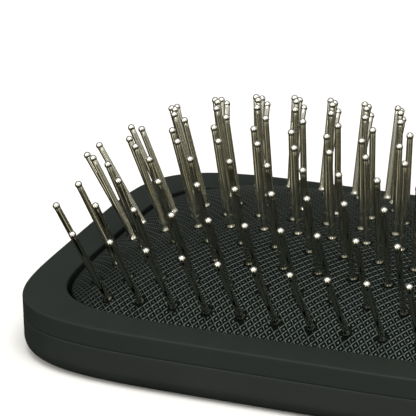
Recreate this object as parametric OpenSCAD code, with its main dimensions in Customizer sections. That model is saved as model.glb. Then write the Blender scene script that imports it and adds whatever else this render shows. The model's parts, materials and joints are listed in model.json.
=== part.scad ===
// Cushion paddle hairbrush, lying on its back with the pins up.
// Origin: centre of the footprint, on the plane that the back rests on.
// +X runs along the handle, away from the free end of the head. +Z is up.

/* [Overall] */
// Length from the free end of the head to the end of the handle
total_l = 244; // [235:1:260]
// Height of the rim's flat top above the back
rim_top = 12.4; // [12.2:0.1:13]

/* [Head] */
// Half length of the opening that the cushion fills
pad_a = 52.5; // [50:0.5:56]
// Half width of the opening that the cushion fills
pad_b = 37.8; // [37:0.2:40]
// Squareness of the head's outline, 2 is an ellipse and 10 is nearly a rectangle
square = 5.2; // [4:0.1:7]
// Width of the rim's flat top band
rim_w = 7.85; // [7:0.05:9]
// Thickness of the floor of the back shell
floor_t = 2.6; // [2:0.1:3]
// Height of the seam between the back shell and the parts above it
seam_z = 8; // [7.8:0.1:8.4]

/* [Cushion] */
// Height of the cushion's edge above the back
edge_z = 11; // [10.8:0.1:11.4]
// Drop of the cushion's border below the crown's edge, at the rim
edge_drop = 0.8; // [0:0.1:1]
// Height of the crown above the cushion's edge
crown_h = 12.7; // [10:0.1:14]
// Falloff of the crown towards the two ends
fall_x = 3.2; // [2.4:0.1:5]
// Falloff of the crown towards the two long sides
fall_y = 2.6; // [2.2:0.1:4]
// Thickness of the rubber
pad_t = 2; // [1.6:0.1:2.4]

/* [Pins] */
// Spacing of the pins along a row
pin_pitch = 7.5; // [7:0.1:9]
// Spacing of the rows across the head
row_pitch = 6.1; // [5.8:0.1:6.2]
// Distance of each row's first pin from the cushion's end, from the outer row to the middle one
row_start = [13.8, 8.7, 10.9, 14.3, 9.4, 6.1]; // [6:0.1:15]
// Least distance of a row's last pin from the cushion's edge
row_end = 6; // [6:0.5:14]
// Length from the rubber's surface to the centre of the ball
pin_l = 19.5; // [15:0.5:22]
// Radius of the shaft at the rubber
pin_r = 0.72; // [0.6:0.02:0.76]
// Radius of the shaft below the ball
pin_end_r = 0.66; // [0.58:0.02:0.7]
// Radius of the ball tip
ball_r = 0.77; // [0.74:0.01:0.9]
// Radius of the collar on the rubber's surface
collar_r = 0.95; // [0.9:0.05:1.1]
// How far the end of each row bends towards the middle, from the outer row to the middle one
row_bow = [1.3, 0.7, 0.4, 0, 0, 0]; // [0:0.1:1.5]

/* [Handle] */
// Half width at the narrowest place
waist_w = 11; // [9:0.5:13]
// Half width where the handle meets the head
neck_w = 24; // [20:0.5:28]
// Height of the top of the grip
grip_top = 17.5; // [16:0.5:20]
// Radius of the hanging hole
hang_r = 3; // [2.5:0.1:3.5]

/* [Hidden] */

head_l = pad_a + rim_w;
head_x = -total_l/2 + head_l;
lip_out = 4.2;
lip_z0 = 7.6;
lip_z1 = 9;
ledge_z = 7.4;
chamber_in = 1.5;
rows = 12;
hx0 = head_x + pad_a + lip_out + 0.8;
cap_l = 16;
hx1 = total_l/2 - cap_l;
zb_end = 1.2;
inset = 4.2;
n_se = 72;
stations = 22;
arc_n = 8;

// ---- outline of the head ----
function sgn(v) = v < 0 ? -1 : 1;
function se_pt(a, b, t) =
  [a*sgn(cos(t))*pow(abs(cos(t)), 2/square), b*sgn(sin(t))*pow(abs(sin(t)), 2/square)];
function outline(d, n = n_se) = [for (i = [0:n-1]) se_pt(pad_a + d, pad_b + d, 360*i/n)];
function ring(d, z, n = n_se) = [for (p = outline(d, n)) [p[0], p[1], z]];

// ---- the cushion's crown: height over the edge at a point ----
function level(x, y) = pow(pow(abs(x)/pad_a, square) + pow(abs(y)/pad_b, square), 1/square);
function raw(u, v) = crown_h*(1 - pow(min(u, 1), fall_x))*(1 - pow(min(v, 1), fall_y));
function crown(x, y) = let (s = max(level(x, y), 0.0001))
  raw(abs(x)/pad_a, abs(y)/pad_b) - pow(s, 12)*raw(abs(x)/pad_a/s, abs(y)/pad_b/s);
function slope_x(x, y) = (crown(x + 0.05, y) - crown(x - 0.05, y))/0.1;
function slope_y(x, y) = (crown(x, y + 0.05) - crown(x, y - 0.05))/0.1;
function crown_ring(s, dz, n) =
  [for (p = outline(0, n)) [p[0]*s, p[1]*s, edge_z + crown(p[0]*s, p[1]*s) + dz]];

// ---- solids made of rings ----
function flat(l) = [for (a = l) for (b = a) b];
function bands(k, n, closed) = flat([for (j = [0:k - (closed ? 1 : 2)]) for (i = [0:n-1])
  let (a = j*n + i, b = j*n + (i + 1)%n, c = ((j + 1)%k)*n + (i + 1)%n, d = ((j + 1)%k)*n + i)
    [[a, b, c], [a, c, d]]]);
// closed at both ends by a fan to a centre point
module ring_solid(rings, top, bottom) {
  n = len(rings[0]);
  k = len(rings);
  polyhedron(points = concat(flat(rings), [top, bottom]),
    faces = concat([for (i = [0:n-1]) [k*n, (i + 1)%n, i]], bands(k, n, false),
                   [for (i = [0:n-1]) [(k - 1)*n + i, (k - 1)*n + (i + 1)%n, k*n + 1]]));
}
// a ring whose section closes on itself
module ring_loop(rings) {
  n = len(rings[0]);
  polyhedron(points = flat(rings), faces = bands(len(rings), n, true));
}

// ---- handle ----
function clamp01(v) = max(0, min(1, v));
function ease(v) = let (c = clamp01(v)) c*c*(3 - 2*c);
function half_w(t) = waist_w + (neck_w - waist_w)*pow(1 - clamp01(t/0.28), 2)
  + 4*ease((t - 0.2)/0.45) - 2*ease((t - 0.72)/0.28);
function top_z(t) = rim_top - 0.3 + (grip_top - rim_top + 0.3)*ease((t - 0.08)/0.5)
  - 1.8*ease((t - 0.7)/0.3);
function bot_z(t) = 0.3 + (zb_end - 0.3)*ease(t/0.4);
function quarter(w, h, k) = [for (i = [0:arc_n]) let (f = 180*i/arc_n)
  [w*sgn(cos(f))*pow(abs(cos(f)), 2/2.6), k*h*pow(sin(f), 2/2.6)]];
function upper(x, w, z) = [for (q = quarter(w, z - seam_z, 1)) [x, q[0], seam_z + q[1]]];
function lower(x, w, z) = [for (q = quarter(w, seam_z - z, -1)) [x, q[0], seam_z + q[1]]];
function full(x, w, z1, z0) = concat(upper(x, w, z1),
  [for (i = [1:arc_n - 1]) lower(x, w, z0)[arc_n - i]]);
function mirror_list(l) = [for (i = [len(l) - 1:-1:0]) l[i]];

// sections run from the head towards the handle's end
module loft(sections, flip = false) {
  n = len(sections[0]);
  k = len(sections);
  s = flip ? [for (a = sections) mirror_list(a)] : sections;
  polyhedron(points = flat(s),
    faces = concat([[for (i = [0:n-1]) i]],
      flat([for (j = [0:k-2]) for (i = [0:n-1])
        let (a = j*n + i, b = j*n + (i + 1)%n, c = (j + 1)*n + (i + 1)%n, d = (j + 1)*n + i)
          [[a, c, b], [a, d, c]]]),
      [[for (i = [n-1:-1:0]) (k - 1)*n + i]]));
}
function hx(t) = hx0 + t*(hx1 - hx0);
function hollow(t0, t1) = concat(
  [for (i = [0:12]) let (t = t0 + (t1 - t0)*i/12) [hx(t), half_w(t) - inset]],
  [for (i = [12:-1:0]) let (t = t0 + (t1 - t0)*i/12) [hx(t), -half_w(t) + inset]]);

module back_shell() {
  color([0.16, 0.18, 0.17])
  difference() {
    union() {
      translate([head_x, 0, 0])
        ring_solid([ring(-chamber_in, floor_t), ring(-chamber_in, ledge_z),
                    ring(lip_out + 0.3, ledge_z), ring(lip_out + 0.3, seam_z),
                    ring(rim_w, seam_z), ring(rim_w, 3.4), ring(rim_w - 0.3, 2), ring(rim_w - 1.2, 0.7),
                    ring(rim_w - 2.8, 0)],
                   [0, 0, floor_t], [0, 0, 0]);
      loft([for (i = [0:stations]) let (t = i/stations) lower(hx(t), half_w(t), bot_z(t))], flip = true);
    }
    translate([0, 0, floor_t + 0.6]) linear_extrude(seam_z) polygon(hollow(0.2, 1.01));
    // air vent of the chamber
    translate([head_x, 0, -1]) cylinder(r = 0.9, h = floor_t + 2, $fn = 24);
  }
}

module front_frame() {
  color([0.17, 0.19, 0.18])
  translate([head_x, 0, 0])
    ring_loop([ring(0, lip_z1 + 0.2), ring(0, rim_top - 0.3), ring(0.25, rim_top),
               ring(rim_w - 0.5, rim_top), ring(rim_w - 0.05, rim_top - 0.35), ring(rim_w, rim_top - 0.9),
               ring(rim_w, seam_z), ring(lip_out + 0.3, seam_z), ring(lip_out + 0.3, lip_z1 + 0.2)]);
}

module handle_cover() {
  color([0.16, 0.18, 0.17])
  difference() {
    loft([for (i = [0:stations]) let (t = i/stations) upper(hx(t), half_w(t), top_z(t))]);
    translate([head_x, 0, seam_z - 1]) linear_extrude(8) polygon(outline(rim_w + 0.05));
    translate([0, 0, seam_z - 1]) linear_extrude(1 + 4.8) polygon(hollow(0.36, 1.01));
  }
}

module end_cap() {
  w = half_w(1);
  color([0.2, 0.22, 0.21])
  difference() {
    union() {
      loft([for (f = [0, 0.15, 0.3, 0.45, 0.6, 0.72, 0.82, 0.9, 0.96, 1])
        let (k = f >= 1 ? 0.12 : pow(1 - pow(f, 2.4), 1/2.2))
          full(hx1 + cap_l*f, w*max(k, 0.12), seam_z + (top_z(1) - seam_z)*max(pow(k, 0.7), 0.3),
               seam_z - (seam_z - zb_end)*max(pow(k, 0.7), 0.3))]);
      translate([hx1 - 9, -(w - inset - 0.5), floor_t + 0.7])
        cube([10, 2*(w - inset - 0.5), seam_z + 4.7 - floor_t - 0.7]);
    }
    translate([hx1 + 5.5, 0, -1]) cylinder(r = hang_r, h = 30, $fn = 48);
    translate([hx1 + 5.5, 0, seam_z + 6]) cylinder(r = hang_r + 1, h = 10, $fn = 48);
    translate([hx1 + 5.5, 0, seam_z - 6 - 10]) cylinder(r = hang_r + 1, h = 10, $fn = 48);
  }
}

module cushion_pad() {
  n = n_se;
  color([0.1, 0.115, 0.11])
  translate([head_x, 0, 0])
    ring_solid(concat(
      [for (s = [0.15, 0.35, 0.5, 0.62, 0.72, 0.81, 0.88, 0.94, 0.98]) crown_ring(s, 0, n)],
      [ring(-0.3, edge_z - edge_drop), ring(-0.3, lip_z1), ring(lip_out, lip_z1), ring(lip_out, lip_z0),
       ring(-2.3, lip_z0), ring(-2.3, edge_z - 1.4)],
      [for (s = [0.9, 0.82, 0.72, 0.6, 0.4, 0.2]) crown_ring(s, -pad_t, n)]),
      [0, 0, edge_z + crown_h], [0, 0, edge_z + crown_h - pad_t]);
}

module pin_base_sheet() {
  n = n_se;
  color([0.25, 0.25, 0.24])
  translate([head_x, 0, 0])
    ring_solid(concat(
      [for (s = [0.2, 0.4, 0.6, 0.72, 0.82, 0.9]) crown_ring(s, -pad_t - 0.25, n)],
      [for (s = [0.9, 0.82, 0.72, 0.6, 0.4, 0.2]) crown_ring(s, -pad_t - 0.85, n)]),
      [0, 0, edge_z + crown_h - pad_t - 0.25], [0, 0, edge_z + crown_h - pad_t - 0.85]);
}

// one pin, its base on the rubber's surface at the origin and its ball up
module pin() {
  under = pad_t + 1.6;
  rotate_extrude($fn = 24) polygon([[0, -under - 0.5], [1.2, -under - 0.5], [1.2, -under],
    [0.6, -under], [0.6, -0.2], [collar_r, -0.2], [collar_r, 0.15], [pin_r, 0.85],
    [pin_end_r, pin_l - 0.3], [0, pin_l - 0.3]]);
  translate([0, 0, pin_l]) sphere(r = ball_r, $fn = 24);
}

function row_y(j) = (j - (rows + 1)/2)*row_pitch;
function row_edge(j) = pad_a*pow(1 - pow(abs(row_y(j))/pad_b, square), 1/square);
function row_x0(j) = -pad_a + row_start[min(j, rows + 1 - j) - 1];
function row_n(j) = floor((row_edge(j) - row_end - row_x0(j))/pin_pitch) + 1;

function row_shift(j, x) = -sgn(row_y(j))*row_bow[min(j, rows + 1 - j) - 1]
  *pow(max(0, (abs(x) - 10)/30), 2);

module pin_row(j) {
  color([0.72, 0.70, 0.66])
  for (i = [0:row_n(j) - 1]) {
    x = row_x0(j) + i*pin_pitch;
    y = row_y(j) + row_shift(j, x);
    sx = slope_x(x, y);
    sy = slope_y(x, y);
    translate([head_x + x, y, edge_z + crown(x, y)])
      rotate([0, atan(sqrt(sx*sx + sy*sy)), atan2(-sy, -sx)])
        pin();
  }
}

back_shell();
front_frame();
handle_cover();
end_cap();
cushion_pad();
pin_base_sheet();
pin_row(1);  // pin_row_01
pin_row(2);  // pin_row_02
pin_row(3);  // pin_row_03
pin_row(4);  // pin_row_04
pin_row(5);  // pin_row_05
pin_row(6);  // pin_row_06
pin_row(7);  // pin_row_07
pin_row(8);  // pin_row_08
pin_row(9);  // pin_row_09
pin_row(10);  // pin_row_10
pin_row(11);  // pin_row_11
pin_row(12);  // pin_row_12
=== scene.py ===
import json
import math

import bmesh
import bpy
import numpy as np
from mathutils import Matrix, Vector

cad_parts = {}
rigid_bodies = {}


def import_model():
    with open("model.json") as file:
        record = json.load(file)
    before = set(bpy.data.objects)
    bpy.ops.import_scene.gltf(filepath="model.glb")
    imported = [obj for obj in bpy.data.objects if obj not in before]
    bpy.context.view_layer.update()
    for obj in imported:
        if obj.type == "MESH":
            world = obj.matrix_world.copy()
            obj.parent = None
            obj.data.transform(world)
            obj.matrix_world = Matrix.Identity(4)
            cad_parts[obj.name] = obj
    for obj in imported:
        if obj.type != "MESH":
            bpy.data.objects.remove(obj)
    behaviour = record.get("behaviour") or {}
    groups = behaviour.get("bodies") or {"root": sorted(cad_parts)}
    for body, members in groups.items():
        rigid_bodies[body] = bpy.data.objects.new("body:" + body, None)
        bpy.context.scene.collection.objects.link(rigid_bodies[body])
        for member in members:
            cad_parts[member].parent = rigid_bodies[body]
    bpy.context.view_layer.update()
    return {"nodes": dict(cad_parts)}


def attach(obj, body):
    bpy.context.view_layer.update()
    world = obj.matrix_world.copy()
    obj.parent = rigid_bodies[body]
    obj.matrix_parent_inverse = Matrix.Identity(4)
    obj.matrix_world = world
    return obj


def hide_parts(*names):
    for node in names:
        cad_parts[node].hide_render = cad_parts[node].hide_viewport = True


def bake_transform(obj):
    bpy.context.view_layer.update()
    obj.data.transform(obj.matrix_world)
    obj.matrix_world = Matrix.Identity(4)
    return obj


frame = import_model()
MM = 0.001

# ---------------------------------------------------------------- dimensions, as in the CAD source
A, B, M = 52.5, 37.8, 5.2
H, FX, FY = 12.7, 3.2, 2.6
EDGE = 11.0
RIM = 7.85
TOP = 12.4
SEAM = 8.0
HEAD_X = -61.65
PAD_T = 2.0
PITCH, ROW = 7.5, 6.1
START = [13.8, 8.7, 10.9, 14.3, 9.4, 6.1]
BOW = [1.3, 0.7, 0.4, 0.0, 0.0, 0.0]
PIN_L = 19.5
HX0, HX1 = -4.15, 106.0
ZB_END = 1.2


def raw(u, v):
    return H * (1 - np.minimum(u, 1) ** FX) * (1 - np.minimum(v, 1) ** FY)


def level(x, y):
    return np.maximum((np.abs(x / A) ** M + np.abs(y / B) ** M) ** (1 / M), 1e-4)


def crown(x, y):
    s = level(x, y)
    return raw(np.abs(x) / A, np.abs(y) / B) - s**12 * raw(np.abs(x) / A / s, np.abs(y) / B / s)


def normals(x, y):
    sx = (crown(x + 0.05, y) - crown(x - 0.05, y)) / 0.1
    sy = (crown(x, y + 0.05) - crown(x, y - 0.05)) / 0.1
    n = np.stack([-sx, -sy, np.ones_like(sx)], -1)
    return n / np.linalg.norm(n, axis=-1, keepdims=True)


def outline(d, n):
    """n points evenly spaced along the head's outline, grown by d."""
    t = np.linspace(0, 2 * np.pi, 40001)
    c, s = np.cos(t), np.sin(t)
    x = (A + d) * np.sign(c) * np.abs(c) ** (2 / M)
    y = (B + d) * np.sign(s) * np.abs(s) ** (2 / M)
    run = np.concatenate([[0], np.cumsum(np.hypot(np.diff(x), np.diff(y)))])
    at = np.arange(n) / n * run[-1]
    return np.stack([np.interp(at, run, x), np.interp(at, run, y)], -1)


def grown(base, d):
    return base * np.array([(A + d) / A, (B + d) / B])


def pins():
    rows = []
    for j in range(1, 13):
        y = (j - 6.5) * ROW
        x0 = -A + START[min(j, 13 - j) - 1]
        edge = A * (1 - (abs(y) / B) ** M) ** (1 / M)
        count = int(math.floor((edge - 6 - x0) / PITCH)) + 1
        x = x0 + PITCH * np.arange(count)
        yy = y - math.copysign(1, y) * BOW[min(j, 13 - j) - 1] * np.maximum(0, (np.abs(x) - 10) / 30) ** 2
        z = EDGE + crown(x, yy)
        rows.append((np.stack([x + HEAD_X, yy, z], -1), normals(x, yy)))
    return rows


# ---------------------------------------------------------------- meshes
def make(name, verts, faces, smooth=True, sharp=None):
    """A new object from points in millimetres and faces."""
    me = bpy.data.meshes.new(name)
    me.from_pydata((np.asarray(verts, float) * MM).tolist(), [], faces)
    me.validate()
    bm = bmesh.new()
    bm.from_mesh(me)
    bmesh.ops.recalc_face_normals(bm, faces=bm.faces)
    bm.to_mesh(me)
    bm.free()
    if smooth:
        me.shade_smooth()
        if sharp:
            me.set_sharp_from_angle(angle=math.radians(sharp))
    o = bpy.data.objects.new(name, me)
    bpy.context.scene.collection.objects.link(o)
    return o


def bands(k, n, closed, first=0):
    j, i = np.meshgrid(np.arange(k if closed else k - 1), np.arange(n), indexing="ij")
    nj, ni = (j + 1) % k, (i + 1) % n
    q = np.stack([j * n + i, j * n + ni, nj * n + ni, nj * n + i], -1).reshape(-1, 4) + first
    return q.tolist()


def loop_solid(name, rings, **kw):
    """A ring whose section closes on itself."""
    n = len(rings[0])
    return make(name, np.concatenate(rings), bands(len(rings), n, True), **kw)


def loft_solid(name, sections, point=None, **kw):
    n = len(sections[0])
    k = len(sections)
    verts = np.concatenate(sections)
    faces = bands(k, n, False)
    faces.append(list(range(n)))
    if point is None:
        faces.append(list(range((k - 1) * n, k * n)))
    else:
        verts = np.concatenate([verts, [point]])
        faces += [[(k - 1) * n + i, (k - 1) * n + (i + 1) % n, k * n] for i in range(n)]
    return make(name, verts, faces, **kw)


def boolean(a, b, operation, sharp=30):
    """a becomes a with b joined or cut away, and b is removed."""
    m = a.modifiers.new("b", "BOOLEAN")
    m.operation, m.object, m.solver = operation, b, "EXACT"
    dg = bpy.context.evaluated_depsgraph_get()
    me = bpy.data.meshes.new_from_object(a.evaluated_get(dg))
    a.modifiers.clear()
    a.data = me
    bpy.data.objects.remove(b)
    me.shade_smooth()
    me.set_sharp_from_angle(angle=math.radians(sharp))
    return a


def arc(cx, cz, r, a0, a1, n=6):
    t = np.radians(np.linspace(a0, a1, n))
    return [(cx + r * c, cz + r * s) for c, s in zip(np.cos(t), np.sin(t))]


def ease(v):
    c = np.clip(v, 0, 1)
    return c * c * (3 - 2 * c)


def half_w(t):
    return 11 + 13 * (1 - np.clip(t / 0.28, 0, 1)) ** 2 + 4 * ease((t - 0.2) / 0.45) - 2 * ease((t - 0.72) / 0.28)


def top_z(t):
    return TOP - 0.3 + 5.4 * ease((t - 0.08) / 0.5) - 1.8 * ease((t - 0.7) / 0.3)


def bot_z(t):
    return 0.3 + 0.9 * ease(t / 0.4)


def half_section(w, h, up, n=56, gap=0.14, inset=0.0):
    """Half of the handle's section, from +y to -y, over or under the seam, with a small step at the seam."""
    f = np.radians(np.linspace(0, 180, n + 1))
    y = (w - inset) * np.sign(np.cos(f)) * np.abs(np.cos(f)) ** (2 / 2.6)
    z = (h - inset) * np.abs(np.sin(f)) ** (2 / 2.6)
    z = np.maximum(z, 0)
    y = np.concatenate([[y[0] - 0.22], y, [y[-1] + 0.22]])
    z = np.concatenate([[0.0], gap + z * (h - gap) / max(h, 1e-6), [0.0]])
    return np.stack([y, SEAM + z * (1 if up else -1)], -1)


# ---------------------------------------------------------------- the head's rim frame
N_OUT = 520
base = outline(0, N_OUT)


def head_ring(d, z):
    p = grown(base, d)
    return np.column_stack([p[:, 0] + HEAD_X, p[:, 1], np.full(len(p), float(z))])


rim_profile = (
    [(0.02, 9.25), (0.0, 9.6), (0.0, 11.3)]
    + arc(0.32, TOP - 0.32, 0.32, 180, 90, 6)
    + [(0.9, TOP), (3.9, TOP + 0.0), (6.9, TOP)]
    + arc(RIM - 0.42, TOP - 0.42, 0.42, 90, 0, 7)
    + [(RIM, 11.3), (RIM, 8.55)]
    + arc(RIM - 0.18, 8.2, 0.18, 0, -90, 4)
    + [(4.6, 8.02), (4.5, 8.1), (4.5, 9.1), (4.4, 9.2)]
)
rim = loop_solid("rim_frame", [head_ring(d, z) for d, z in rim_profile], sharp=50)
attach(rim, "body")
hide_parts("front_frame")

# ---------------------------------------------------------------- the back shell with the handle's lower half
shell_profile = (
    [(-1.5, 2.75), (-1.5, 7.25), (-1.38, 7.4), (4.4, 7.4), (4.5, 7.5), (4.5, 7.9), (4.6, 8.0), (RIM - 0.2, 8.0)]
    + arc(RIM - 0.18, 7.78, 0.18, 80, 0, 4)
    + [(RIM, 7.2), (RIM, 4.2)]
    + [(5.05 + 2.8 * math.cos(a), 3.4 - 3.4 * math.sin(a)) for a in np.radians(np.linspace(0, 90, 14))]
    + [(4.5, 0.0), (3.0, 0.0)]
)
rings = [head_ring(d, z) for d, z in shell_profile]


def disc_ring(k, z, r=None):
    """A ring that goes from the outline's shape to a circle, towards the vent."""
    p = grown(base, 0) * k
    if r is not None:
        a = np.arctan2(base[:, 1], base[:, 0])
        p = np.stack([r * np.cos(a), r * np.sin(a)], -1)
    return np.column_stack([p[:, 0] + HEAD_X, p[:, 1], np.full(len(p), float(z))])


rings += [disc_ring(k, 0.0) for k in (0.97, 0.8, 0.55, 0.3)]
rings += [disc_ring(0, z, r) for r, z in ((4.0, 0.0), (1.25, 0.0), (1.05, 0.06), (0.92, 0.22), (0.9, 0.5), (0.9, 2.3), (1.1, 2.6), (4.0, 2.6))]
rings += [disc_ring(k, 2.6) for k in (0.3, 0.55, 0.8)]
rings.append(head_ring(-1.75, 2.6))
shell = loop_solid("back_shell_body", rings, sharp=40)

stations = np.concatenate([np.linspace(0, 0.3, 40), np.linspace(0.3, 1, 60)[1:]])
lower = []
for t in stations:
    x = HX0 + t * (HX1 - HX0)
    s = half_section(half_w(t), SEAM - bot_z(t), False)
    lower.append(np.column_stack([np.full(len(s), x), s[:, 0], s[:, 1]]))
end = lower[-1].copy()
end[:, 0] = HX1 - 0.02
end[:, 1] *= 0.985
end[:, 2] = SEAM + (end[:, 2] - SEAM) * 0.975
lower[-1][:, 0] = HX1 - 0.2
lower.append(end)
under = loft_solid("handle_under", lower)
shell = boolean(shell, under, "UNION", 40)
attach(shell, "body")
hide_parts("back_shell")

# ---------------------------------------------------------------- the handle's cover
upper = []
for t in stations:
    x = HX0 + t * (HX1 - HX0)
    s = half_section(half_w(t), top_z(t) - SEAM, True)
    upper.append(np.column_stack([np.full(len(s), x), s[:, 0], s[:, 1]]))
end = upper[-1].copy()
end[:, 0] = HX1 - 0.02
end[:, 1] *= 0.985
end[:, 2] = SEAM + (end[:, 2] - SEAM) * 0.975
upper[-1][:, 0] = HX1 - 0.2
upper.append(end)
cover = loft_solid("handle_cover_body", upper)
cutter = grown(base, RIM + 0.08)
cut = loft_solid("cut", [np.column_stack([cutter[:, 0] + HEAD_X, cutter[:, 1], np.full(len(cutter), z)]) for z in (5.0, 20.0)])
cover = boolean(cover, cut, "DIFFERENCE", 40)
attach(cover, "body")
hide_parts("handle_cover")

# ---------------------------------------------------------------- the end cap with the hanging hole
CAP = 16.0
W1, T1 = float(half_w(1.0)), float(top_z(1.0))


def full_section(x, w, up, down, n=112):
    f = np.radians(np.linspace(0, 360, n, endpoint=False))
    y = w * np.sign(np.cos(f)) * np.abs(np.cos(f)) ** (2 / 2.6)
    z = np.sign(np.sin(f)) * np.abs(np.sin(f)) ** (2 / 2.6)
    z = np.where(z > 0, z * up, z * down)
    return np.column_stack([np.full(n, x), y, SEAM + z])


sections = [full_section(HX1 + 0.02, W1 * 0.985, (T1 - SEAM) * 0.975, (SEAM - ZB_END) * 0.975)]
for f in np.sin(np.radians(np.linspace(0.7, 89.0, 34))):
    k = (1 - f**2.4) ** (1 / 2.2)
    g = k**0.7
    sections.append(full_section(HX1 + CAP * f, W1 * k, (T1 - SEAM) * g, (SEAM - ZB_END) * g))
cap = loft_solid("end_cap_body", sections, point=(HX1 + CAP, 0, SEAM))
hole = [(0.0, 30.0), (5.2, 30.0), (5.2, 16.0), (4.45, 15.55), (4.12, 15.2), (4.0, 14.9), (4.0, 14.3), (3.9, 14.08), (3.7, 14.0),
        (3.3, 14.0), (3.1, 13.9), (3.0, 13.65), (3.0, 2.35), (3.1, 2.1), (3.3, 2.0), (3.7, 2.0), (3.9, 1.95), (4.0, 1.85),
        (4.12, 1.6), (4.5, 1.3), (5.2, 0.9), (5.2, -6.0), (0.0, -6.0)]
turn = np.radians(np.arange(72) * 5.0)
hole_rings = [np.column_stack([HX1 + 5.5 + r * np.cos(turn), r * np.sin(turn), np.full(72, z)]) for r, z in hole[1:-1]]
cutter = loft_solid("cut", hole_rings)
cap = boolean(cap, cutter, "DIFFERENCE", 35)
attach(cap, "body")
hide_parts("end_cap")

# ---------------------------------------------------------------- the cushion, with its sunken square grid
CELL = 1.29
LINES = np.array([0.0, 0.075, 0.36, 0.5, 0.64, 0.925])
S_EDGE = 0.985
reach = int(math.ceil((A + B) / math.sqrt(2) / CELL)) + 1
ticks = ((np.arange(-reach, reach)[:, None] + LINES[None, :]).ravel()) * CELL
frac = np.tile(LINES, 2 * reach)
P, Q = np.meshgrid(ticks, ticks, indexing="ij")
FP, FQ = np.meshgrid(frac, frac, indexing="ij")
X, Y = (P - Q) / math.sqrt(2), (P + Q) / math.sqrt(2)
S = level(X, Y)


def tri(f, w):
    d = np.minimum(f, 1 - f)
    return np.clip(1 - d / w, 0, 1)


rib = np.maximum(tri(FP, 0.075), tri(FQ, 0.075))
dot = ((np.abs(FP - 0.5) < 0.01) & (np.abs(FQ - 0.5) < 0.01)).astype(float)
rows = pins()
near = np.full(X.shape, 99.0)
for pos, _ in rows:
    for p in pos:
        px, py = p[0] - HEAD_X, p[1]
        window = (np.abs(X - px) < 3) & (np.abs(Y - py) < 3)
        d = np.hypot(X[window] - px, Y[window] - py)
        near[window] = np.minimum(near[window], d)
mask = ease((near - 1.05) / 0.5) * ease((0.984 - S) / 0.006)
height = 0.15 * rib * mask + 0.15 * dot * mask
tone = np.maximum(rib, dot) * mask

nx = len(ticks)
cell_s = (S[:-1, :-1] + S[1:, :-1] + S[:-1, 1:] + S[1:, 1:]) / 4
keep = cell_s < S_EDGE
idx = np.arange(nx * nx).reshape(nx, nx)
quads = np.stack([idx[:-1, :-1][keep], idx[1:, :-1][keep], idx[1:, 1:][keep], idx[:-1, 1:][keep]], -1)
used = np.unique(quads)
remap = np.full(nx * nx, -1)
remap[used] = np.arange(len(used))
quads = remap[quads]
x, y = X.ravel()[used], Y.ravel()[used]
hgt, ton = height.ravel()[used], tone.ravel()[used]
edges = np.concatenate([quads[:, [0, 1]], quads[:, [1, 2]], quads[:, [2, 3]], quads[:, [3, 0]]])
key = np.sort(edges, 1)
uniq, counts = np.unique(key, axis=0, return_counts=True)
rim_edges = uniq[counts == 1]
border = np.unique(rim_edges)
s = level(x[border], y[border])
x[border] *= S_EDGE / s
y[border] *= S_EDGE / s
hgt[border] = 0
ton[border] = 0
nrm = normals(x, y)
top = np.stack([x + HEAD_X, y, EDGE + crown(x, y)], -1) + nrm * hgt[:, None]

# the border's points in order, then down the wall, round the lip and back under the crown
step = {}
for a, b in rim_edges.tolist():
    step.setdefault(a, []).append(b)
    step.setdefault(b, []).append(a)
order = [int(border[0])]
previous = None
while True:
    here = order[-1]
    choice = [v for v in step[here] if v != previous]
    nxt = choice[0]
    if nxt == order[0]:
        break
    order.append(nxt)
    previous = here
order = np.array(order)
bx, by = x[order], y[order]
unit = np.stack([bx, by], -1) / level(bx, by)[:, None]
verts = [top]
rings = [order]
count = len(top)


def add_ring(xy, z):
    global count
    verts.append(np.column_stack([xy[:, 0] + HEAD_X, xy[:, 1], z]))
    rings.append(np.arange(count, count + len(xy)))
    count += len(xy)


n = len(order)
for d, z in ((-0.52, 10.95), (-0.4, 10.55), (-0.32, 10.2), (-0.3, 9.8), (-0.3, 9.15), (-0.15, 9.0), (4.05, 9.0), (4.2, 8.85), (4.2, 7.75), (4.05, 7.6),
             (-2.15, 7.6), (-2.3, 7.75), (-2.3, 9.6)):
    add_ring(grown(unit, d), np.full(n, z))
for k in (0.9, 0.82, 0.72, 0.6, 0.45, 0.3, 0.15):
    xy = unit * k
    add_ring(xy, EDGE + crown(xy[:, 0], xy[:, 1]) - PAD_T)
verts.append(np.array([[HEAD_X, 0, EDGE + H - PAD_T]]))
faces = quads.tolist()
for r0, r1 in zip(rings[:-1], rings[1:]):
    faces += np.stack([r0, np.roll(r0, -1), np.roll(r1, -1), r1], -1).tolist()
last = rings[-1]
faces += np.stack([last, np.roll(last, -1), np.full(n, count)], -1).tolist()
pad = make("rubber_cushion", np.concatenate(verts), faces, smooth=True)
full_tone = np.zeros(count + 1, np.float32)
full_tone[: len(ton)] = ton
attribute = pad.data.attributes.new("rib", "FLOAT", "POINT")
attribute.data.foreach_set("value", full_tone[: len(pad.data.vertices)])
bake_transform(pad)
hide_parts("cushion_pad")

# ---------------------------------------------------------------- pins
BALL = 0.77
R0, R1 = 0.72, 0.65
profile = [(0.0, -4.1), (1.1, -4.1), (1.2, -4.0), (1.2, -3.7), (1.1, -3.6), (0.62, -3.55), (0.6, -3.3), (0.6, -0.3),
           (0.9, -0.2), (0.94, -0.08), (0.95, 0.05), (0.93, 0.17), (0.89, 0.28), (0.83, 0.4), (0.78, 0.52), (0.74, 0.65), (R0, 0.8), (R0, 1.2)]
for f in np.linspace(0.12, 1, 5):
    profile.append((R0 + (R1 - R0) * f, 1.2 + (17.9 - 1.2) * f))
profile += [(R1, 18.98), (R1 - 0.02, 19.04)]
for a in np.radians(np.linspace(-33, 84, 13)):
    profile.append((BALL * math.cos(a), PIN_L + BALL * math.sin(a)))
profile.append((0.0, PIN_L + BALL))
SEG = 24
PIN_VERTS = SEG * (len(profile) - 2) + 2
BALL_RING = next(i for i, q in enumerate(profile[1:]) if q[1] > 19.0)
turn = np.arange(SEG) * 2 * np.pi / SEG
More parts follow.
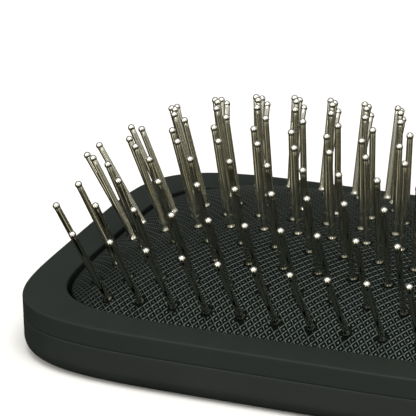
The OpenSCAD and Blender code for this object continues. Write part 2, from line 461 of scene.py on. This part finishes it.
body_ring = np.array([[(r * math.cos(a), r * math.sin(a), z) for a in turn] for r, z in profile[1:-1]])
for j, (pos, nrm) in enumerate(rows, 1):
    vs, fs, first = [], [], 0
    for p, d in zip(pos, nrm):
        d = Vector(d)
        rot = np.array(d.to_track_quat("Z", "Y").to_matrix())
        pts = np.concatenate([[[0, 0, profile[0][1]]], body_ring.reshape(-1, 3), [[0, 0, profile[-1][1]]]])
        vs.append(pts @ rot.T + p)
        k = len(profile) - 2
        fs += bands(k, SEG, False, first + 1)
        fs += [[first, first + 1 + (i + 1) % SEG, first + 1 + i] for i in range(SEG)]
        e = first + 1 + (k - 1) * SEG
        fs += [[e + i, e + (i + 1) % SEG, first + 1 + k * SEG] for i in range(SEG)]
        first += len(pts)
    row = make(f"pins_row_{j:02d}", np.concatenate(vs), fs, sharp=60)
    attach(row, "cushion")
    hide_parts(f"pin_row_{j:02d}")

# ---------------------------------------------------------------- materials


def start(name):
    m = bpy.data.materials.new(name)
    m.use_nodes = True
    nt = m.node_tree
    nt.nodes.clear()
    out = nt.nodes.new("ShaderNodeOutputMaterial")
    p = nt.nodes.new("ShaderNodeBsdfPrincipled")
    nt.links.new(p.outputs["BSDF"], out.inputs["Surface"])
    coord = nt.nodes.new("ShaderNodeTexCoord")
    return m, nt, p, coord


def noise(nt, coord, scale, detail=4.0, rough=0.55, stretch=None):
    n = nt.nodes.new("ShaderNodeTexNoise")
    n.inputs["Scale"].default_value = scale
    n.inputs["Detail"].default_value = detail
    n.inputs["Roughness"].default_value = rough
    source = coord.outputs["Object"]
    if stretch:
        mp = nt.nodes.new("ShaderNodeMapping")
        mp.inputs["Scale"].default_value = stretch
        nt.links.new(source, mp.inputs["Vector"])
        source = mp.outputs["Vector"]
    nt.links.new(source, n.inputs["Vector"])
    return n.outputs["Fac"]


def ramp(nt, fac, stops):
    r = nt.nodes.new("ShaderNodeValToRGB")
    e = r.color_ramp.elements
    while len(e) < len(stops):
        e.new(0.5)
    for el, (pos, col) in zip(e, stops):
        el.position = pos
        el.color = (*col, 1) if len(col) == 3 else col
    nt.links.new(fac, r.inputs["Fac"])
    return r.outputs["Color"]


def span(nt, value, a, b, c, d):
    r = nt.nodes.new("ShaderNodeMapRange")
    for k, v in zip(("From Min", "From Max", "To Min", "To Max"), (a, b, c, d)):
        r.inputs[k].default_value = v
    nt.links.new(value, r.inputs["Value"])
    return r.outputs["Result"]


def bump(nt, height, strength, distance, normal=None):
    b = nt.nodes.new("ShaderNodeBump")
    b.inputs["Strength"].default_value = strength
    b.inputs["Distance"].default_value = distance
    nt.links.new(height, b.inputs["Height"])
    if normal is not None:
        nt.links.new(normal, b.inputs["Normal"])
    return b.outputs["Normal"]


def plastic(name, dark, light, rough=(0.42, 0.56), grain=2600.0, grain_depth=0.00003, specular=0.35):
    m, nt, p, coord = start(name)
    cloud = noise(nt, coord, 28.0, 5.0, 0.6)
    nt.links.new(ramp(nt, cloud, [(0.3, dark), (0.7, light)]), p.inputs["Base Color"])
    fine = noise(nt, coord, grain, 2.0, 0.5)
    scuff = noise(nt, coord, 190.0, 6.0, 0.7, (1.0, 0.35, 1.0))
    nt.links.new(span(nt, scuff, 0.3, 0.7, rough[0], rough[1]), p.inputs["Roughness"])
    n1 = bump(nt, fine, 0.35, grain_depth)
    nt.links.new(bump(nt, scuff, 0.12, 0.00002, n1), p.inputs["Normal"])
    p.inputs["Specular IOR Level"].default_value = specular
    return m


def put(o, m):
    o.data.materials.clear()
    o.data.materials.append(m)
    for poly in o.data.polygons:
        poly.material_index = 0


rim_mat = plastic("charcoal_rim_plastic", (0.0100, 0.0142, 0.0118), (0.0132, 0.0182, 0.0155), (0.52, 0.64), 3000.0, 0.00002, 0.2)
body_mat = plastic("charcoal_body_plastic", (0.0095, 0.0128, 0.0110), (0.0138, 0.0178, 0.0156), (0.44, 0.58), 2200.0, 0.00004, 0.3)
cap_mat = plastic("charcoal_cap_plastic", (0.017, 0.0195, 0.0182), (0.024, 0.027, 0.0255), (0.32, 0.46), 2600.0, 0.00003, 0.4)
put(rim, rim_mat)
put(shell, body_mat)
put(cover, body_mat)
put(cap, cap_mat)

# rubber: matt dark cell floors, and ribs and dots worn smoother; the floors' darker colour and weak specular are
# painted shade in the hollows between the ribs, and the ribs' and dots' paler colour is a painted highlight


def rubber(name, colours, rough, specular):
    m, nt, p, coord = start(name)
    cloud = noise(nt, coord, 75.0, 5.0, 0.6)
    speck = noise(nt, coord, 1500.0, 3.0, 0.6)
    nt.links.new(ramp(nt, cloud, [(0.3, colours[0]), (0.7, colours[1])]), p.inputs["Base Color"])
    nt.links.new(span(nt, speck, 0.3, 0.7, rough[0], rough[1]), p.inputs["Roughness"])
    nt.links.new(bump(nt, speck, 0.25, 0.00003), p.inputs["Normal"])
    p.inputs["Specular IOR Level"].default_value = specular
    p.inputs["Specular Tint"].default_value = (0.86, 1.0, 0.92, 1.0)
    return m


# the floor copy's darker colour and weak specular are painted shade, and the rib copy's paler colour is a painted
# highlight
painted_shade_floor_rubber = rubber("black_rubber_floor_painted_shade", ((0.0009, 0.0016, 0.0012), (0.0016, 0.0026, 0.0020)), (0.55, 0.66), 0.05)
painted_highlight_rib_rubber = rubber("black_rubber_ribs_painted_highlight", ((0.0028, 0.0046, 0.0036), (0.0052, 0.0078, 0.0062)), (0.27, 0.36), 0.62)
pad.data.materials.append(painted_shade_floor_rubber)
pad.data.materials.append(painted_highlight_rib_rubber)
me = pad.data
tones = np.zeros(len(me.vertices), np.float32)
me.attributes["rib"].data.foreach_get("value", tones)
corner = np.zeros(len(me.loops), np.int32)
me.loops.foreach_get("vertex_index", corner)
starts = np.zeros(len(me.polygons), np.int32)
me.polygons.foreach_get("loop_start", starts)
# faces that touch a crest or a dot top take the rib copy with its painted highlight, and all others take the floor
# copy with its painted shade
index = (np.maximum.reduceat(tones[corner], starts) > 0.5).astype(np.int32)
me.polygons.foreach_set("material_index", index)
me.update()

# nickel plate: drawn shafts and brighter balls, where the shafts' darker colour is painted shade


def nickel(name, colours, rough):
    m, nt, p, coord = start(name)
    cloud = noise(nt, coord, 120.0, 3.0, 0.6, (1.0, 1.0, 0.3))
    tint = noise(nt, coord, 70.0, 2.0, 0.5)
    nt.links.new(ramp(nt, tint, [(0.3, colours[0]), (0.7, colours[1])]), p.inputs["Base Color"])
    nt.links.new(span(nt, cloud, 0.3, 0.7, rough[0], rough[1]), p.inputs["Roughness"])
    p.inputs["Metallic"].default_value = 1.0
    return m


# the shafts' colour, darker than the balls', is painted shade; the balls keep the brighter plate colour
painted_shade_shaft_nickel = nickel("nickel_shaft_painted_shade", ((0.46, 0.45, 0.38), (0.55, 0.535, 0.46)), (0.05, 0.09))
ball_nickel = nickel("nickel_ball", ((0.70, 0.68, 0.62), (0.78, 0.76, 0.70)), (0.05, 0.09))
for o in list(bpy.context.scene.objects):
    if o.name.startswith("pins_row_"):
        o.data.materials.clear()
        o.data.materials.append(painted_shade_shaft_nickel)
        o.data.materials.append(ball_nickel)
        per_pin = len(o.data.polygons) // (len(o.data.vertices) // PIN_VERTS)
        # the faces of one pin: the bands from base to tip, then the lower fan and the upper fan
        ring_of = np.concatenate([np.repeat(np.arange(len(profile) - 3), SEG), np.full(SEG, -1), np.full(SEG, len(profile))])
        one = (ring_of >= BALL_RING).astype(np.int32)
        o.data.polygons.foreach_set("material_index", np.tile(one, len(o.data.polygons) // per_pin))
        o.data.update()

# woven base cloth under the rubber
cloth, nt, p, coord = start("woven_base_cloth")
wx = nt.nodes.new("ShaderNodeTexWave")
wx.wave_type, wx.bands_direction = "BANDS", "X"
wy = nt.nodes.new("ShaderNodeTexWave")
wy.wave_type, wy.bands_direction = "BANDS", "Y"
for w in (wx, wy):
    w.inputs["Scale"].default_value = 900.0
    w.inputs["Distortion"].default_value = 0.6
    nt.links.new(coord.outputs["Object"], w.inputs["Vector"])
prod = nt.nodes.new("ShaderNodeMath")
prod.operation = "MULTIPLY"
nt.links.new(wx.outputs["Fac"], prod.inputs[0])
nt.links.new(wy.outputs["Fac"], prod.inputs[1])
nt.links.new(ramp(nt, prod.outputs["Value"], [(0.1, (0.035, 0.036, 0.034)), (0.8, (0.085, 0.086, 0.08))]), p.inputs["Base Color"])
nt.links.new(span(nt, prod.outputs["Value"], 0.0, 1.0, 0.95, 0.8), p.inputs["Roughness"])
nt.links.new(bump(nt, prod.outputs["Value"], 0.6, 0.0002), p.inputs["Normal"])
put(frame["nodes"]["pin_base_sheet"], cloth)

# ---------------------------------------------------------------- floor, light and camera
scene = bpy.context.scene
scene.view_settings.view_transform = "Standard"
scene.view_settings.look = "None"

fl = make("floor", [(-9000, -9000, -0.05), (9000, -9000, -0.05), (9000, 9000, -0.05), (-9000, 9000, -0.05)], [[0, 1, 2, 3]], smooth=False)
m, nt, p, coord = start("pale_floor")
nt.links.new(ramp(nt, noise(nt, coord, 3.0), [(0.3, (0.86, 0.85, 0.83)), (0.7, (0.89, 0.88, 0.86))]), p.inputs["Base Color"])
p.inputs["Roughness"].default_value = 0.9
p.inputs["Specular IOR Level"].default_value = 0.2
put(fl, m)

world = bpy.data.worlds.new("studio")
scene.world = world
world.use_nodes = True
wt = world.node_tree
bg = wt.nodes["Background"]
wc = wt.nodes.new("ShaderNodeTexCoord")
sep = wt.nodes.new("ShaderNodeSeparateXYZ")
wt.links.new(wc.outputs["Generated"], sep.inputs["Vector"])


def sky(stops):
    r = wt.nodes.new("ShaderNodeValToRGB")
    el = r.color_ramp.elements
    while len(el) < len(stops):
        el.new(0.5)
    for e, (pos, col) in zip(el, stops):
        e.position, e.color = pos, (*col, 1)
    return r


def scaled(value, a, b):
    r = wt.nodes.new("ShaderNodeMapRange")
    r.inputs["From Min"].default_value, r.inputs["From Max"].default_value = a, b
    wt.links.new(value, r.inputs["Value"])
    return r.outputs["Result"]


# a soft ceiling over a studio that is brighter on the camera's side, with a dark table in front
height01 = scaled(sep.outputs["Z"], -1, 1)
front = sky([(0.0, (0.004, 0.006, 0.004)), (0.19, (0.015, 0.016, 0.011)), (0.28, (0.42, 0.41, 0.33)), (0.42, (0.62, 0.60, 0.50)), (0.505, (0.50, 0.49, 0.43)),
             (0.60, (0.72, 0.72, 0.66)), (0.70, (1.00, 1.00, 0.96)), (0.78, (1.35, 1.35, 1.32)), (0.88, (0.85, 0.85, 0.84)), (1.0, (0.45, 0.45, 0.45))])
back = sky([(0.0, (0.010, 0.010, 0.008)), (0.42, (0.045, 0.042, 0.030)), (0.50, (0.48, 0.47, 0.42)), (0.56, (0.18, 0.185, 0.175)),
            (0.75, (0.17, 0.175, 0.17)), (1.0, (0.50, 0.50, 0.50))])
for r in (front, back):
    wt.links.new(height01, r.inputs["Fac"])
side = wt.nodes.new("ShaderNodeVectorMath")
side.operation = "DOT_PRODUCT"
side.inputs[1].default_value = (0.36, -0.93, 0.0)
wt.links.new(wc.outputs["Generated"], side.inputs[0])
blend = wt.nodes.new("ShaderNodeMix")
blend.data_type = "RGBA"
reach_round = wt.nodes.new("ShaderNodeMath")
reach_round.operation = "MULTIPLY_ADD"
reach_round.inputs[1].default_value = 0.45
wt.links.new(scaled(sep.outputs["Z"], 0.02, 0.18), reach_round.inputs[0])
wt.links.new(side.outputs["Value"], reach_round.inputs[2])
wt.links.new(scaled(reach_round.outputs["Value"], -0.15, 0.45), blend.inputs["Factor"])
wt.links.new(back.outputs["Color"], blend.inputs["A"])
wt.links.new(front.outputs["Color"], blend.inputs["B"])
# soft upright bands of light and shade below the horizon, which the upright shafts pick up as streaks
across = wt.nodes.new("ShaderNodeVectorMath")
across.operation = "DOT_PRODUCT"
across.inputs[1].default_value = (0.93, 0.36, 0.0)
wt.links.new(wc.outputs["Generated"], across.inputs[0])
streaks = sky([(0.0, (0.12,) * 3), (0.12, (0.25,) * 3), (0.23, (2.9, 2.9, 2.8)), (0.34, (0.32, 0.31, 0.26)), (0.50, (0.20, 0.195, 0.165)),
               (0.64, (0.40, 0.38, 0.33)), (0.76, (2.5, 2.45, 2.3)), (0.87, (0.22, 0.21, 0.18)), (1.0, (0.12, 0.11, 0.09))])
wt.links.new(scaled(across.outputs["Value"], -1, 1), streaks.inputs["Fac"])
banded = wt.nodes.new("ShaderNodeMix")
banded.data_type, banded.blend_type = "RGBA", "MULTIPLY"
banded.clamp_result = False
wt.links.new(scaled(sep.outputs["Z"], 0.12, -0.06), banded.inputs["Factor"])
wt.links.new(blend.outputs["Result"], banded.inputs["A"])
wt.links.new(streaks.outputs["Color"], banded.inputs["B"])
wt.links.new(banded.outputs["Result"], bg.inputs["Color"])
bg.inputs["Strength"].default_value = 1.0
fl.visible_glossy = False


def area(name, at, to, size, watts, colour=(1, 1, 1), size_y=None):
    light = bpy.data.lights.new(name, "AREA")
    light.energy, light.size, light.color = watts, size, colour
    if size_y:
        light.shape, light.size_y = "RECTANGLE", size_y
    o = bpy.data.objects.new(name, light)
    o.location = at
    o.rotation_euler = (Vector(to) - Vector(at)).to_track_quat("-Z", "Y").to_euler()
    scene.collection.objects.link(o)
    return o


head = (HEAD_X * MM, 0, 0.02)
area("key", (0.09, -0.36, 1.45), head, 1.1, 19, (1.0, 0.995, 0.98))
area("strip_left", (-0.95, -1.55, 0.62), head, 0.22, 5.0, (1.0, 0.98, 0.92), 0.95)
area("strip_right", (0.75, -1.70, 0.55), head, 0.16, 3.0, (1.0, 0.96, 0.88), 0.85)

cam_data = bpy.data.cameras.new("camera")
cam = bpy.data.objects.new("camera", cam_data)
scene.collection.objects.link(cam)
cam_data.sensor_width = 36
cam_data.sensor_height = 36
cam_data.lens = 234.93
cam_data.clip_start, cam_data.clip_end = 0.01, 50
r, u, b = (0.92298, 0.38438, -0.01902), (-0.12811, 0.35347, 0.92663), (0.36291, -0.85282, 0.37549)
rot = Matrix(((r[0], u[0], b[0]), (r[1], u[1], b[1]), (r[2], u[2], b[2])))
cam.matrix_world = Matrix.Translation((0.11899, -0.49432, 0.23985)) @ rot.to_quaternion().to_matrix().to_4x4()
scene.camera = cam
